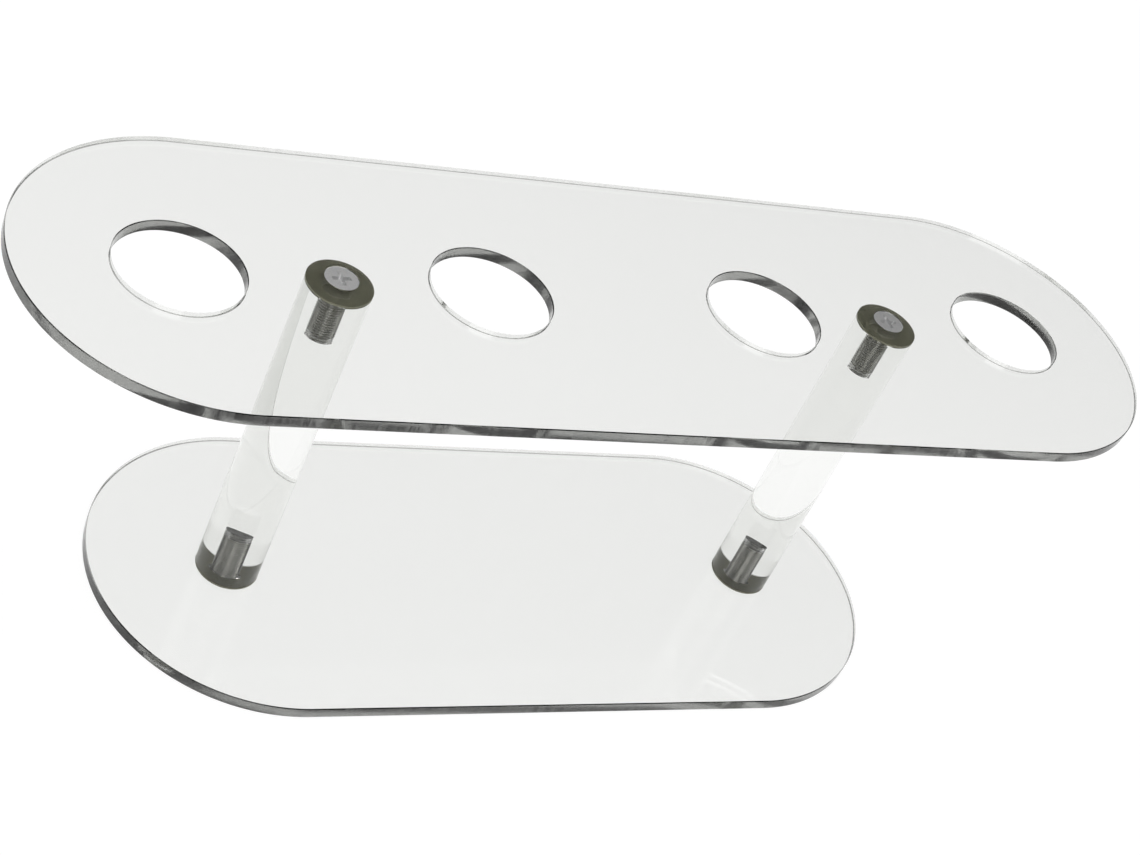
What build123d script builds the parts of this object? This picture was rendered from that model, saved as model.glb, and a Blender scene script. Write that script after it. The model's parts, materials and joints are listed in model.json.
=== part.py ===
from build123d import *
import os

# Clear acrylic stand with four holes in a line, for pipettes or other round bodies.
#
# Two obround plates are held apart by two solid round posts. Each post is drilled and tapped in both
# ends, and a countersunk screw through each plate pulls the plate onto the post against a thin grey
# washer. Sizes are in millimetres. The origin is the middle of the base plate's underside: +X runs
# along the row of holes, +Y runs to the back, +Z is up.

# Plates
top_length = 300.0
base_length = 220.0
plate_width = 92.0
plate_thickness = 3.0
plate_gap = 91.0

# Row of holes in the top plate
pipette_hole_diameter = 30.0
pipette_hole_pitch = 75.0
pipette_hole_count = 4

# Posts and the washers at their ends
post_diameter = 16.0
post_spacing = 150.0
post_edge_chamfer = 0.3
washer_thickness = 0.5
washer_bore = 4.6

# Tapped hole in each end of a post, drawn as a plain bore that clears the screw's thread
tapped_hole_diameter = 4.1
tapped_hole_depth = 14.0

# M4 countersunk screws with a cross recess
screw_shank_diameter = 4.0
screw_length = 16.0
screw_head_diameter = 8.0
screw_head_rim = 0.3
screw_head_recess = 0.1
screw_thread_pitch = 0.7
screw_thread_depth = 0.4
screw_hole_diameter = 4.5
screw_hole_rim_clearance = 0.1
cross_recess_span = 4.6
cross_recess_arm = 1.1
cross_recess_depth = 1.5

# Heights worked out from the sizes above
post_foot = plate_thickness + washer_thickness
post_length = plate_gap - 2 * washer_thickness
post_top = post_foot + post_length
top_underside = plate_thickness + plate_gap
stand_height = top_underside + plate_thickness
post_places = {"left": -post_spacing / 2, "right": post_spacing / 2}


def disc(diameter, length, foot):
    """Upright cylinder that stands on the height foot."""
    return Pos(0, 0, foot) * Cylinder(
        diameter / 2, length, align=(Align.CENTER, Align.CENTER, Align.MIN)
    )


def cone(foot_diameter, head_diameter, length, foot):
    """Upright cone that stands on the height foot."""
    return Pos(0, 0, foot) * Cone(
        foot_diameter / 2, head_diameter / 2, length, align=(Align.CENTER, Align.CENTER, Align.MIN)
    )


def upside_down(piece):
    """The same piece turned over about the X axis, to serve under the base plate."""
    return Rot(180, 0, 0) * piece


def screw_hole():
    """Cutter for one countersunk hole, with the plate's outer face at height zero."""
    rim_diameter = screw_head_diameter + 2 * screw_hole_rim_clearance
    rim_depth = screw_head_recess + screw_head_rim
    cone_depth = (rim_diameter - screw_hole_diameter) / 2
    cut = disc(screw_hole_diameter, plate_thickness + 2, -plate_thickness - 1)
    cut += disc(rim_diameter, rim_depth + 1, -rim_depth)
    cut += cone(screw_hole_diameter, rim_diameter, cone_depth, -rim_depth - cone_depth)
    return cut


def obround_plate(length):
    """Flat plate with full round ends, its underside at height zero."""
    return extrude(SlotOverall(length, plate_width), plate_thickness)


def make_top_plate():
    plate = Pos(0, 0, top_underside) * obround_plate(top_length)
    first_hole = -pipette_hole_pitch * (pipette_hole_count - 1) / 2
    for i in range(pipette_hole_count):
        x = first_hole + i * pipette_hole_pitch
        plate -= Pos(x, 0, 0) * disc(pipette_hole_diameter, plate_thickness + 2, top_underside - 1)
    for x in post_places.values():
        plate -= Pos(x, 0, stand_height) * screw_hole()
    return plate


def make_base_plate():
    plate = obround_plate(base_length)
    for x in post_places.values():
        plate -= Pos(x, 0, 0) * upside_down(screw_hole())
    return plate


def make_post():
    """Solid round post with a blind tapped hole in each end."""
    post = disc(post_diameter, post_length, post_foot)
    post = chamfer(post.edges().filter_by(GeomType.CIRCLE), post_edge_chamfer)
    post -= disc(tapped_hole_diameter, tapped_hole_depth, post_foot)
    post -= disc(tapped_hole_diameter, tapped_hole_depth, post_top - tapped_hole_depth)
    return post


def make_washer(foot):
    return disc(post_diameter, washer_thickness, foot) - disc(washer_bore, washer_thickness, foot)


def make_screw():
    """Countersunk screw, with the plate's outer face at height zero and the shank going down."""
    head = screw_head_diameter / 2
    crest = screw_shank_diameter / 2
    root = crest - screw_thread_depth
    head_top = -screw_head_recess
    rim_foot = head_top - screw_head_rim
    head_foot = rim_foot - (head - crest)
    tip = head_top - screw_length
    points = [(0, head_top), (head, head_top), (head, rim_foot), (crest, head_foot)]
    turns = int((head_foot - tip) / screw_thread_pitch)
    first = tip + turns * screw_thread_pitch
    for i in range(turns):
        top = first - i * screw_thread_pitch
        points += [(crest, top), (root, top - screw_thread_pitch / 2)]
    points += [(root, tip), (0, tip)]
    outline = make_face(Plane.XZ * Polyline(*points, close=True))
    return revolve(outline, Axis.Z) - cross_recess(head_top)


def cross_recess(head_top):
    """Cutter for the cross recess, its four arms narrowing as they go down."""
    recess = None
    for angle in (0, 90):
        mouth = Pos(0, 0, head_top) * Rectangle(cross_recess_span, cross_recess_arm)
        floor = Pos(0, 0, head_top - cross_recess_depth) * Rectangle(
            0.3 * cross_recess_span, 0.7 * cross_recess_arm
        )
        arm = Rot(0, 0, angle) * loft([mouth.face(), floor.face()])
        recess = arm if recess is None else recess + arm
    return recess


def make_stand():
    """Every node of the stand, by name."""
    nodes = {"top_plate": make_top_plate(), "base_plate": make_base_plate()}
    for side, x in post_places.items():
        place = Pos(x, 0, 0)
        nodes[side + "_post"] = place * make_post()
        nodes[side + "_top_washer"] = place * make_washer(post_top)
        nodes[side + "_base_washer"] = place * make_washer(plate_thickness)
        nodes[side + "_top_screw"] = place * Pos(0, 0, stand_height) * make_screw()
        nodes[side + "_base_screw"] = place * upside_down(make_screw())
    return nodes


os.makedirs("parts", exist_ok=True)
for name, piece in make_stand().items():
    export_step(piece, "parts/" + name + ".step")
    print(name, round(piece.volume, 1))
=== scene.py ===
import json
import math

import bmesh
import bpy
from mathutils import Matrix, Vector


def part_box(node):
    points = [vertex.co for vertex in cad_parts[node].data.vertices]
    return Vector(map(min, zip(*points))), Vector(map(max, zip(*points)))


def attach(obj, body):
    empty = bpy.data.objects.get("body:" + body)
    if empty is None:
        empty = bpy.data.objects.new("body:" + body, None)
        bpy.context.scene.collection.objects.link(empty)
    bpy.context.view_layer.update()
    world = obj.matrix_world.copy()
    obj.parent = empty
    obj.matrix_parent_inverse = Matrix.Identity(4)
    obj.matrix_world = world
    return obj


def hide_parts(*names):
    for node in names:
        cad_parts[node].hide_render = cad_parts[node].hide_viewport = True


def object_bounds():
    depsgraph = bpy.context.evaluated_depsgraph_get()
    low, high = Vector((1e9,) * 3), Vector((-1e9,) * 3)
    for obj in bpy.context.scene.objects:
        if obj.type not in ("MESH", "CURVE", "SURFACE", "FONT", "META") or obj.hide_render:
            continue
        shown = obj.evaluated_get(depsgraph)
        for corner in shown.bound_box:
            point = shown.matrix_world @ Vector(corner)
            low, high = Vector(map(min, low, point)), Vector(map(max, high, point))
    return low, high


mm = 0.001

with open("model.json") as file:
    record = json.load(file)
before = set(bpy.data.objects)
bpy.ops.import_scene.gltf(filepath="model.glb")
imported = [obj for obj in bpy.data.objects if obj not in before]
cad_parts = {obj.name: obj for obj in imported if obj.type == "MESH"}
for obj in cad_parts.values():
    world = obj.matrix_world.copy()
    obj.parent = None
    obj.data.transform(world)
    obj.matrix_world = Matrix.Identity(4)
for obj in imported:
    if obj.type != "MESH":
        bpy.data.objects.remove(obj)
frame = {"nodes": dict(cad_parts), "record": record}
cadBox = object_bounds()
record = frame["record"]
scene = bpy.context.scene
print("frame loaded:", len(frame["nodes"]), "CAD nodes")


mergeGap = 1e-7  # points nearer than this are one point
samePlace = 1e-6  # heights and radii nearer than this are the same
flatNormal = 0.9  # a face is flat if its normal points up or down by more than this

plateBuild = {"endSegments": 192, "holeSegments": 128, "screwHoleSegments": 64, "edgeChamfer": 0.2 * mm}
screwBuild = {
    "headRadius": 4.0 * mm, "shankRadius": 2.0 * mm, "length": 16.0 * mm, "recess": 0.1 * mm,
    "rim": 0.3 * mm, "pitch": 0.7 * mm, "threadDepth": 0.32 * mm, "tipChamfer": 0.4 * mm,
    "rowsPerPitch": 8, "rowMargin": 0.2, "steps": 96, "smoothAngle": 40.0,
    "crossSpan": 4.6 * mm, "crossArm": 1.1 * mm, "crossDepth": 1.3 * mm, "crossTaper": 0.6,
}
screwHoleBuild = {"clear": 2.25 * mm, "rimClearance": 0.1 * mm}
postBuild = {
    "steps": 96, "endChamfer": 0.25 * mm, "bite": 0.02 * mm, "tapDepth": 14.0 * mm,
    "squeeze": 0.03 * mm,  # the thread's walls lie this far inside the metal, so no air shows between
    "threadTolerance": 0.01 * mm,  # the screw's and the post's boxes have slightly different middles
}
washerBuild = {"bore": 2.3 * mm, "gap": 0.02 * mm, "steps": 128}


def midPoint(node):
    low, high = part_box(node)
    return (low + high) / 2


def diameterOf(node):
    low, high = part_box(node)
    return high.y - low.y


def addPiece(bm, name, material, replaced, smoothAngle=30.0):
    # turns a bmesh into a piece of the stand, riding on the root body
    bmesh.ops.remove_doubles(bm, verts=bm.verts[:], dist=mergeGap)
    bmesh.ops.recalc_face_normals(bm, faces=bm.faces[:])
    mesh = bpy.data.meshes.new(name)
    bm.to_mesh(mesh)
    bm.free()
    for polygon in mesh.polygons:
        polygon.use_smooth = True
    mesh.set_sharp_from_angle(angle=math.radians(smoothAngle))
    mesh.materials.append(material)
    piece = bpy.data.objects.new(name, mesh)
    scene.collection.objects.link(piece)
    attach(piece, "root")
    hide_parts(*replaced)
    return piece


def ring(bm, radius, z, segments, centre=(0.0, 0.0), turn=0.0):
    # one closed loop of edges, lying flat
    place = Matrix.Translation((centre[0], centre[1], z)) @ Matrix.Rotation(turn, 4, "Z")
    made = bmesh.ops.create_circle(bm, cap_ends=False, radius=radius, segments=segments, matrix=place)
    return edgesOf(made["verts"])


def edgesOf(verts):
    # every edge that joins two of these verts, listed once
    inside = set(verts)
    return list(dict.fromkeys(e for v in verts for e in v.link_edges if e.other_vert(v) in inside))


def vertsOf(edges):
    return list(dict.fromkeys(v for e in edges for v in e.verts))


def newParts(made, kind):
    # the verts or the edges that a bmesh operator has made
    return [part for part in made["geom"] if isinstance(part, kind)]


def lathe(bm, outline, steps, axisX=0.0):
    # spins an outline of (radius, height) points all the way round an upright axis
    verts = [bm.verts.new((axisX + r, 0, z)) for r, z in outline]
    edges = [bm.edges.new(pair) for pair in zip(verts, verts[1:])]
    bmesh.ops.spin(
        bm, geom=verts + edges, cent=(axisX, 0, 0), axis=(0, 0, 1),
        angle=2 * math.pi, steps=steps, use_merge=True, use_duplicate=False,
    )


def principled(name, **values):
    material = bpy.data.materials.new(name)
    material.use_nodes = True
    shader = material.node_tree.nodes["Principled BSDF"]
    for socket, value in values.items():
        shader.inputs[socket.replace("_", " ")].default_value = value
    return material, material.node_tree, shader


acrylicLook = {
    "tint": (0.932, 0.937, 0.924, 1), "ior": 1.49,
    "hazeSize": 45.0, "hazeLow": 0.0, "hazeHigh": 0.012,
}
cutEdgeLook = {
    "tint": (0.3, 0.305, 0.292, 1), "sawMarks": 2200.0, "roughLow": 0.05, "roughHigh": 0.2,
    "bumpDepth": 0.00004, "bumpStrength": 0.25,
}
drilledLook = {"tint": (0.12, 0.12, 0.1, 1), "marks": 3000.0, "roughLow": 0.3, "roughHigh": 0.5}
threadLook = {
    "dark": (0.34, 0.338, 0.315, 1), "light": (0.5, 0.498, 0.475, 1), "grain": 4000.0,
    "roughLow": 0.14, "roughHigh": 0.22,
}
headLook = {
    "dark": (0.72, 0.72, 0.72, 1), "light": (0.86, 0.86, 0.86, 1), "grain": 4000.0,
    "roughLow": 0.42, "roughHigh": 0.52,
}
washerLook = {
    "dark": (0.235, 0.232, 0.165, 1), "light": (0.335, 0.33, 0.24, 1), "grain": 3000.0,
    "alpha": 0.85, "metallic": 0.3, "roughLow": 0.34, "roughHigh": 0.48,
}


def noiseRamp(tree, scale, low, high, stretch=(1, 1, 1)):
    # even noise on object coordinates, mapped between two values or two colours
    coords = tree.nodes.new("ShaderNodeTexCoord")
    mapping = tree.nodes.new("ShaderNodeMapping")
    mapping.inputs["Scale"].default_value = stretch
    noise = tree.nodes.new("ShaderNodeTexNoise")
    noise.inputs["Scale"].default_value = scale
    noise.inputs["Detail"].default_value = 4.0
    ramp = tree.nodes.new("ShaderNodeValToRGB")
    ramp.color_ramp.elements[0].position = 0.3
    ramp.color_ramp.elements[1].position = 0.7
    for stop, value in zip(ramp.color_ramp.elements, (low, high)):
        stop.color = value if isinstance(value, tuple) else (value, value, value, 1)
    tree.links.new(coords.outputs["Object"], mapping.inputs["Vector"])
    tree.links.new(mapping.outputs["Vector"], noise.inputs["Vector"])
    tree.links.new(noise.outputs["Fac"], ramp.inputs["Fac"])
    return noise, ramp


def clearAcrylic():
    # polished sheet and rod, with a trace of handling haze
    material, tree, shader = principled(
        "clearAcrylic", Base_Color=acrylicLook["tint"], IOR=acrylicLook["ior"], Transmission_Weight=1.0,
    )
    _, ramp = noiseRamp(tree, acrylicLook["hazeSize"], acrylicLook["hazeLow"], acrylicLook["hazeHigh"])
    tree.links.new(ramp.outputs["Color"], shader.inputs["Roughness"])
    return material


def cutEdge():
    # the cut walls of the sheet, with marks that run through its thickness
    look = cutEdgeLook
    material, tree, shader = principled(
        "cutEdge", Base_Color=look["tint"], IOR=acrylicLook["ior"], Transmission_Weight=1.0,
    )
    noise, ramp = noiseRamp(tree, look["sawMarks"], look["roughLow"], look["roughHigh"], (1, 1, 0.05))
    bump = tree.nodes.new("ShaderNodeBump")
    bump.inputs["Strength"].default_value = look["bumpStrength"]
    bump.inputs["Distance"].default_value = look["bumpDepth"]
    tree.links.new(ramp.outputs["Color"], shader.inputs["Roughness"])
    tree.links.new(noise.outputs["Fac"], bump.inputs["Height"])
    tree.links.new(bump.outputs["Normal"], shader.inputs["Normal"])
    return material


def drilledWall():
    # the frosted wall that a drill and a tap leave in acrylic
    look = drilledLook
    material, tree, shader = principled(
        "drilledAcrylic", Base_Color=look["tint"], IOR=acrylicLook["ior"], Transmission_Weight=1.0,
    )
    _, ramp = noiseRamp(tree, look["marks"], look["roughLow"], look["roughHigh"])
    tree.links.new(ramp.outputs["Color"], shader.inputs["Roughness"])
    return material


roughGrain = 1.7  # the gloss varies on a finer grain than the tone


def grainyMetal(name, look, **values):
    # for the washers too, whose look is only part metal
    material, tree, shader = principled(name, **values)
    _, tone = noiseRamp(tree, look["grain"], look["dark"], look["light"])
    _, rough = noiseRamp(tree, look["grain"] * roughGrain, look["roughLow"], look["roughHigh"])
    tree.links.new(tone.outputs["Color"], shader.inputs["Base Color"])
    tree.links.new(rough.outputs["Color"], shader.inputs["Roughness"])
    return material


acrylic = clearAcrylic()
acrylicEdge = cutEdge()
drilledAcrylic = drilledWall()
threadSteel = grainyMetal("threadSteel", threadLook, Metallic=1.0)
headSteel = grainyMetal("headSteel", headLook, Metallic=1.0)
washerGrey = grainyMetal(
    "smokyWasher", washerLook, Metallic=washerLook["metallic"], Alpha=washerLook["alpha"],
)
print("materials made")


screwHoles = {
    "rim": screwBuild["headRadius"] + screwHoleBuild["rimClearance"],
    "rimDepth": screwBuild["recess"] + screwBuild["rim"],
    "clear": screwHoleBuild["clear"],
    "places": [midPoint("left_post").x, midPoint("right_post").x],
}


def outlineRing(bm, length, width, z):
    # a circle pulled apart into an obround: the two edges that cross the middle become the long sides
    segments = plateBuild["endSegments"]
    edges = ring(bm, width / 2, z, segments, turn=math.pi / segments)
    for v in vertsOf(edges):
        v.co.x += math.copysign((length - width) / 2, v.co.x)
    return edges


def nearScrewHole(point):
    reach = 2 * screwHoles["rim"]
    return any(math.hypot(point.x - x, point.y) < reach for x in screwHoles["places"])


def openEdges(bm, z):
    # the edges of holes and outlines at one height
    return [e for e in bm.edges if e.is_boundary and all(abs(v.co.z - z) < samePlace for v in e.verts)]


def plateFace(bm, node, z, bores, screwRadius):
    # one wide face of a plate, with all its holes
    low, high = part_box(node)
    edges = outlineRing(bm, high.x - low.x, high.y - low.y, z)
    for x, radius in bores:
        edges += ring(bm, radius, z, plateBuild["holeSegments"], (x, 0))
    for x in screwHoles["places"]:
        edges += ring(bm, screwRadius, z, plateBuild["screwHoleSegments"], (x, 0))
    bmesh.ops.triangle_fill(bm, use_beauty=True, use_dissolve=False, edges=edges)


def plateWalls(bm, faceZ, backZ):
    # the walls of the outline and of the wide holes
    rims = []
    for e in openEdges(bm, faceZ):
        if not nearScrewHole((e.verts[0].co + e.verts[1].co) / 2):
            rims.append(e)
    made = bmesh.ops.extrude_edge_only(bm, edges=rims)
    bmesh.ops.translate(bm, vec=(0, 0, backZ - faceZ), verts=newParts(made, bmesh.types.BMVert))


def sinkScrewHole(bm, x, faceZ, backZ):
    # a countersunk hole from the face to the back: rim, cone, then the clear hole
    rim, clear, rimDepth = screwHoles["rim"], screwHoles["clear"], screwHoles["rimDepth"]
    down = math.copysign(1, backZ - faceZ)
    centre = Vector((x, 0, faceZ))
    loop = [e for e in openEdges(bm, faceZ) if abs((e.verts[0].co - centre).length - rim) < samePlace]
    steps = [
        (1.0, rimDepth),
        (clear / rim, rim - clear),
        (1.0, abs(faceZ - backZ) - rimDepth - (rim - clear)),
    ]
    for scale, drop in steps:
        made = bmesh.ops.extrude_edge_only(bm, edges=loop)
        verts = newParts(made, bmesh.types.BMVert)
        bmesh.ops.scale(bm, vec=(scale, scale, 1), verts=verts, space=Matrix.Translation((-x, 0, 0)))
        bmesh.ops.translate(bm, vec=(0, 0, down * drop), verts=verts)
        loop = newParts(made, bmesh.types.BMEdge)


def chamferPlate(bm):
    # a fine chamfer where the wide faces meet the walls
    sharp = []
    for e in bm.edges:
        square = len(e.link_faces) == 2 and e.calc_face_angle(0) > math.radians(60)
        if square and not nearScrewHole(e.verts[0].co):
            sharp.append(e)
    bmesh.ops.bevel(
        bm, geom=sharp, offset=plateBuild["edgeChamfer"], offset_type="OFFSET", segments=1,
        profile=0.5, affect="EDGES", material=-1,
    )


def makePlate(name, node, bores, headsUp):
    low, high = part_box(node)
    faceZ, backZ = (high.z, low.z) if headsUp else (low.z, high.z)
    bm = bmesh.new()
    plateFace(bm, node, faceZ, bores, screwHoles["rim"])
    plateFace(bm, node, backZ, bores, screwHoles["clear"])
    plateWalls(bm, faceZ, backZ)
    for x in screwHoles["places"]:
        sinkScrewHole(bm, x, faceZ, backZ)
    bmesh.ops.remove_doubles(bm, verts=bm.verts[:], dist=samePlace)
    bmesh.ops.recalc_face_normals(bm, faces=bm.faces[:])
    chamferPlate(bm)
    piece = addPiece(bm, name, acrylic, [node])
    # every face that isn't flat, chamfers too, has the look of a cut edge
    piece.data.materials.append(acrylicEdge)
    for polygon in piece.data.polygons:
        if abs(polygon.normal.z) < flatNormal and not nearScrewHole(polygon.center):
            polygon.material_index = 1


bores = [(m["pos_m"][0], m["dims"]["r_mm"] * mm) for m in record["mounts"] if m["kind"] == "bore"]
makePlate("topPlate", "top_plate", bores, True)
makePlate("basePlate", "base_plate", [], False)
print("plates made")


def screwPlace(side, end):
    # where a screw made head up, with the plate's outer face at height zero, has to go
    low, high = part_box(f"{side}_{end}_screw")
    x = (low.x + high.x) / 2
    if end == "top":
        return Matrix.Translation((x, 0, high.z + screwBuild["recess"]))
    return Matrix.Translation((x, 0, low.z - screwBuild["recess"])) @ Matrix.Rotation(math.pi, 4, "X")


def threadRows(low, high):
    # heights of the mesh rows between two heights, on one grid for screw and hole
    step = screwBuild["pitch"] / screwBuild["rowsPerPitch"]
    margin = screwBuild["rowMargin"]
    first, last = math.ceil(low / step + margin), math.floor(high / step - margin)
    return [k * step for k in range(first, last + 1)]


def cutThread(verts, radius, low, high, place):
    # moves the points of a plain shank or bore inwards along a helix
    back = place.inverted()
    for v in verts:
        local = back @ v.co
        r = math.hypot(local.x, local.y)
        if abs(r - radius) > postBuild["threadTolerance"] or not low < local.z < high:
            continue
        phase = (local.z / screwBuild["pitch"] - math.atan2(local.y, local.x) / (2 * math.pi)) % 1
        cut = screwBuild["threadDepth"] * (0.5 - 0.5 * math.cos(2 * math.pi * phase))
        scale = (r - cut) / r
        v.co = place @ Vector((local.x * scale, local.y * scale, local.z))


def makePost(side):
    node = side + "_post"
    low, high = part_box(node)
    radius = diameterOf(node) / 2
    x = midPoint(node).x
    bore = screwBuild["shankRadius"] - postBuild["squeeze"]
    top, foot = high.z + postBuild["bite"], low.z - postBuild["bite"]
    chamfer, depth = postBuild["endChamfer"], postBuild["tapDepth"]
    topPlace, basePlace = screwPlace(side, "top"), screwPlace(side, "base")
    faceTop, faceBase = topPlace.translation.z, basePlace.translation.z
    topRows = [(bore, z + faceTop) for z in threadRows(top - depth - faceTop, top - faceTop)]
    baseRows = [(bore, faceBase - z) for z in threadRows(faceBase - foot - depth, faceBase - foot)]
    outline = [(0, top - depth), (bore, top - depth)] + topRows + [(bore, top)]
    outline += [(radius - chamfer, top), (radius, top - chamfer)]
    outline += [(radius, foot + chamfer), (radius - chamfer, foot)]
    outline += [(bore, foot)] + baseRows[::-1] + [(bore, foot + depth), (0, foot + depth)]
    bm = bmesh.new()
    lathe(bm, outline, postBuild["steps"], x)
    upper = [v for v in bm.verts if v.co.z > (top + foot) / 2]
    lower = [v for v in bm.verts if v.co.z < (top + foot) / 2]
    cutThread(upper, bore, top - depth - faceTop + samePlace, top - faceTop - samePlace, topPlace)
    cutThread(
        lower, bore, faceBase - foot - depth + samePlace, faceBase - foot - samePlace, basePlace
    )
    piece = addPiece(bm, side + "Post", acrylic, [node])
    piece.data.materials.append(drilledAcrylic)
    for polygon in piece.data.polygons:
        inBore = math.hypot(polygon.center.x - x, polygon.center.y) < screwBuild["shankRadius"]
        if inBore and abs(polygon.normal.z) < flatNormal:
            polygon.material_index = 1


for side in ("left", "right"):
    makePost(side)
print("posts made")


def makeWasher(side, end):
    node = f"{side}_{end}_washer"
    low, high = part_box(node)
    bore, radius = washerBuild["bore"], diameterOf(node) / 2
    # the washer stays a fine gap clear of the plate
    if end == "top":
        lowZ, highZ = low.z, high.z - washerBuild["gap"]
    else:
        lowZ, highZ = low.z + washerBuild["gap"], high.z
    section = [(bore, lowZ), (radius, lowZ), (radius, highZ), (bore, highZ), (bore, lowZ)]
    bm = bmesh.new()
    lathe(bm, section, washerBuild["steps"], midPoint(node).x)
    addPiece(bm, side + end.capitalize() + "Washer", washerGrey, [node])


def crossOutline(bm, z):
    # the plus shape of the recess, as a closed loop of edges
    reach, half = screwBuild["crossSpan"] / 2, screwBuild["crossArm"] / 2
    corner = [(reach, -half), (reach, half), (half, half)]
    points = []
    for quarter in range(4):
        turn = Matrix.Rotation(quarter * math.pi / 2, 2)
        points += [turn @ Vector(p) for p in corner]
    verts = [bm.verts.new((p.x, p.y, z)) for p in points]
    return [bm.edges.new((v, verts[(i + 1) % len(verts)])) for i, v in enumerate(verts)]


def makeScrew(side, end):
    b = screwBuild
    node = f"{side}_{end}_screw"
    headTop = -b["recess"]
    coneTop = headTop - b["rim"]
    coneEnd = coneTop - (b["headRadius"] - b["shankRadius"])
    tip = headTop - b["length"]
    threadFoot = tip + b["tipChamfer"]
    outline = [(0, tip), (b["shankRadius"] - b["tipChamfer"], tip), (b["shankRadius"], threadFoot)]
    outline += [(b["shankRadius"], z) for z in threadRows(threadFoot, coneEnd)]
    outline += [(b["shankRadius"], coneEnd), (b["headRadius"], coneTop), (b["headRadius"], headTop)]
    bm = bmesh.new()
    lathe(bm, outline, b["steps"])
    bmesh.ops.remove_doubles(bm, verts=bm.verts[:], dist=mergeGap)
    cutThread(
        bm.verts[:], b["shankRadius"], threadFoot - samePlace, coneEnd - samePlace, Matrix.Identity(4)
    )
    # close the head round the cross, then sink the cross
    rimEdges = openEdges(bm, headTop)
    cross = crossOutline(bm, headTop)
    bmesh.ops.triangle_fill(bm, use_beauty=True, use_dissolve=False, edges=rimEdges + cross)
    made = bmesh.ops.extrude_edge_only(bm, edges=cross)
    sunk = newParts(made, bmesh.types.BMVert)
    bmesh.ops.scale(bm, vec=(b["crossTaper"], b["crossTaper"], 1), verts=sunk)
    bmesh.ops.translate(bm, vec=(0, 0, -b["crossDepth"]), verts=sunk)
    floorEdges = newParts(made, bmesh.types.BMEdge)
    bmesh.ops.triangle_fill(bm, use_beauty=True, use_dissolve=False, edges=floorEdges)
    place = screwPlace(side, end)
    bmesh.ops.transform(bm, matrix=place, verts=bm.verts[:])
    name = side + end.capitalize() + "Screw"
    piece = addPiece(bm, name, threadSteel, [node], b["smoothAngle"])
    # the head is light and satin, the thread below it darker and glossier
    piece.data.materials.append(headSteel)
    for polygon in piece.data.polygons:
        if (place.inverted() @ polygon.center).z > coneEnd:
            polygon.material_index = 1


for side in ("left", "right"):
    for end in ("top", "base"):
        makeWasher(side, end)
        makeScrew(side, end)
print("hardware made")


# the floor glows; bright and dim, with their radii, paint a pool of light round the object
floorLook = {
    "size": 8.0, "drop": 0.3 * mm, "colour": (0.14, 0.14, 0.14, 1), "rough": 0.9, "glow": 1.0,
    "bright": 0.93, "dim": 0.66, "brightRadius": 0.6, "dimRadius": 1.5,
}
# colours up the walls of the studio, each with the sine of its height angle
studioRise = [
    (0.00, (0.75, 0.75, 0.75, 1)),
    (0.08, (0.14, 0.14, 0.14, 1)),
    (0.30, (0.14, 0.14, 0.15, 1)),
    (0.42, (0.02, 0.02, 0.016, 1)),
    (0.90, (0.02, 0.02, 0.018, 1)),
    (1.00, (0.25, 0.25, 0.25, 1)),
]
softboxes = {
    "overheadSoftbox": {"place": (0.1, 0.15, 1.6), "size": (1.7, 1.7), "power": 15},
    "frontSoftbox": {"place": (-0.43, -1.0, 0.95), "size": (0.9, 1.1), "power": 5},
    "sideSoftbox": {"place": (1.3, -0.1, 1.0), "size": (1.4, 1.2), "power": 0.7},
}
softboxTarget = Vector((0, 0, 0.05))


def floorMaterial():
    # painted pool of light: the floor glows brighter round the object and dimmer further out, so clear
    # edges stand out from low angles
    material, tree, shader = principled(
        "glowPoolFloor", Base_Color=floorLook["colour"], Roughness=floorLook["rough"],
        Emission_Strength=floorLook["glow"],
    )
    coords = tree.nodes.new("ShaderNodeTexCoord")
    distance = tree.nodes.new("ShaderNodeVectorMath")
    distance.operation = "LENGTH"
    falloff = tree.nodes.new("ShaderNodeMapRange")
    falloff.interpolation_type = "SMOOTHSTEP"
    inputs = {"From Min": "brightRadius", "From Max": "dimRadius", "To Min": "bright", "To Max": "dim"}
    for socket, key in inputs.items():
        falloff.inputs[socket].default_value = floorLook[key]
    tree.links.new(coords.outputs["Object"], distance.inputs[0])
    tree.links.new(distance.outputs["Value"], falloff.inputs["Value"])
    tree.links.new(falloff.outputs["Result"], shader.inputs["Emission Color"])
    return material


def makeFloor():
    place = Matrix.Translation((0, 0, cadBox[0][2] - floorLook["drop"]))
    bm = bmesh.new()
    bmesh.ops.create_grid(bm, x_segments=1, y_segments=1, size=floorLook["size"] / 2, matrix=place)
    mesh = bpy.data.meshes.new("floor")
    bm.to_mesh(mesh)
    bm.free()
    mesh.materials.append(floorMaterial())
    floor = bpy.data.objects.new("floor", mesh)
    scene.collection.objects.link(floor)


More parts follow.
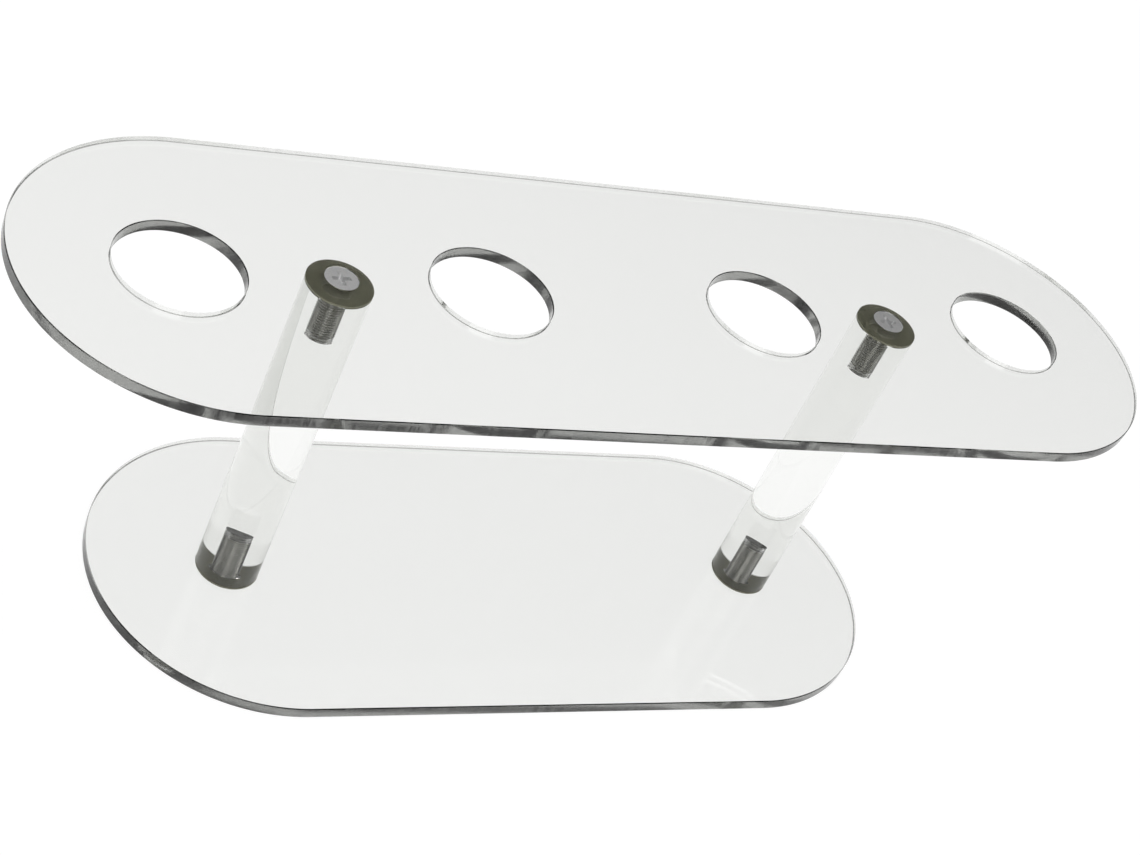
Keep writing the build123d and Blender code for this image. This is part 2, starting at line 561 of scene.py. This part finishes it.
def makeStudio():
    world = bpy.data.worlds.new("studio")
    scene.world = world
    world.use_nodes = True
    tree = world.node_tree
    background = tree.nodes["Background"]
    coords = tree.nodes.new("ShaderNodeTexCoord")
    split = tree.nodes.new("ShaderNodeSeparateXYZ")
    ramp = tree.nodes.new("ShaderNodeValToRGB")
    tree.links.new(coords.outputs["Generated"], split.inputs[0])
    tree.links.new(split.outputs["Z"], ramp.inputs["Fac"])
    tree.links.new(ramp.outputs["Color"], background.inputs["Color"])
    stops = ramp.color_ramp.elements
    for i, (height, colour) in enumerate(studioRise):
        # a new ramp has two stops already
        stop = stops[i] if i < 2 else stops.new(height)
        stop.position = height
        stop.color = colour
    background.inputs["Strength"].default_value = 1.0


def makeSoftbox(name, box):
    lamp = bpy.data.lights.new(name, "AREA")
    lamp.shape = "RECTANGLE"
    lamp.size, lamp.size_y = box["size"]
    lamp.energy = box["power"]
    holder = bpy.data.objects.new(name, lamp)
    holder.location = box["place"]
    holder.rotation_euler = (softboxTarget - Vector(box["place"])).to_track_quat("-Z", "Y").to_euler()
    scene.collection.objects.link(holder)


makeFloor()
makeStudio()
for name, box in softboxes.items():
    makeSoftbox(name, box)
print("stage and lights made")

view = {
    "lens": 72.39, "sensorWidth": 36.0, "nearClip": 0.01, "distance": 0.579, "azimuth": -36.78,
    "elevation": 36.72, "roll": 26.83, "target": (0.0042, 0.0054, 0.050),
}


def makeCamera():
    azimuth, elevation, roll = (math.radians(view[k]) for k in ("azimuth", "elevation", "roll"))
    forward = Vector((
        -math.sin(azimuth) * math.cos(elevation),
        math.cos(azimuth) * math.cos(elevation),
        -math.sin(elevation),
    ))
    level = forward.cross(Vector((0, 0, 1))).normalized()
    upright = level.cross(forward)
    right = level * math.cos(roll) + upright * math.sin(roll)
    up = upright * math.cos(roll) - level * math.sin(roll)
    data = bpy.data.cameras.new("camera")
    data.lens = view["lens"]
    data.sensor_width = view["sensorWidth"]
    data.clip_start = view["nearClip"]
    camera = bpy.data.objects.new("camera", data)
    turn = Matrix((right, up, -forward)).transposed().to_4x4()
    place = Vector(view["target"]) - forward * view["distance"]
    camera.matrix_world = Matrix.Translation(place) @ turn
    scene.collection.objects.link(camera)
    scene.camera = camera


makeCamera()
print("camera made")

scene.view_settings.view_transform = "Standard"
scene.view_settings.look = "None"
scene.cycles.max_bounces = 40
scene.cycles.transmission_bounces = 40
scene.cycles.glossy_bounces = 24
scene.cycles.diffuse_bounces = 4
scene.cycles.transparent_max_bounces = 16
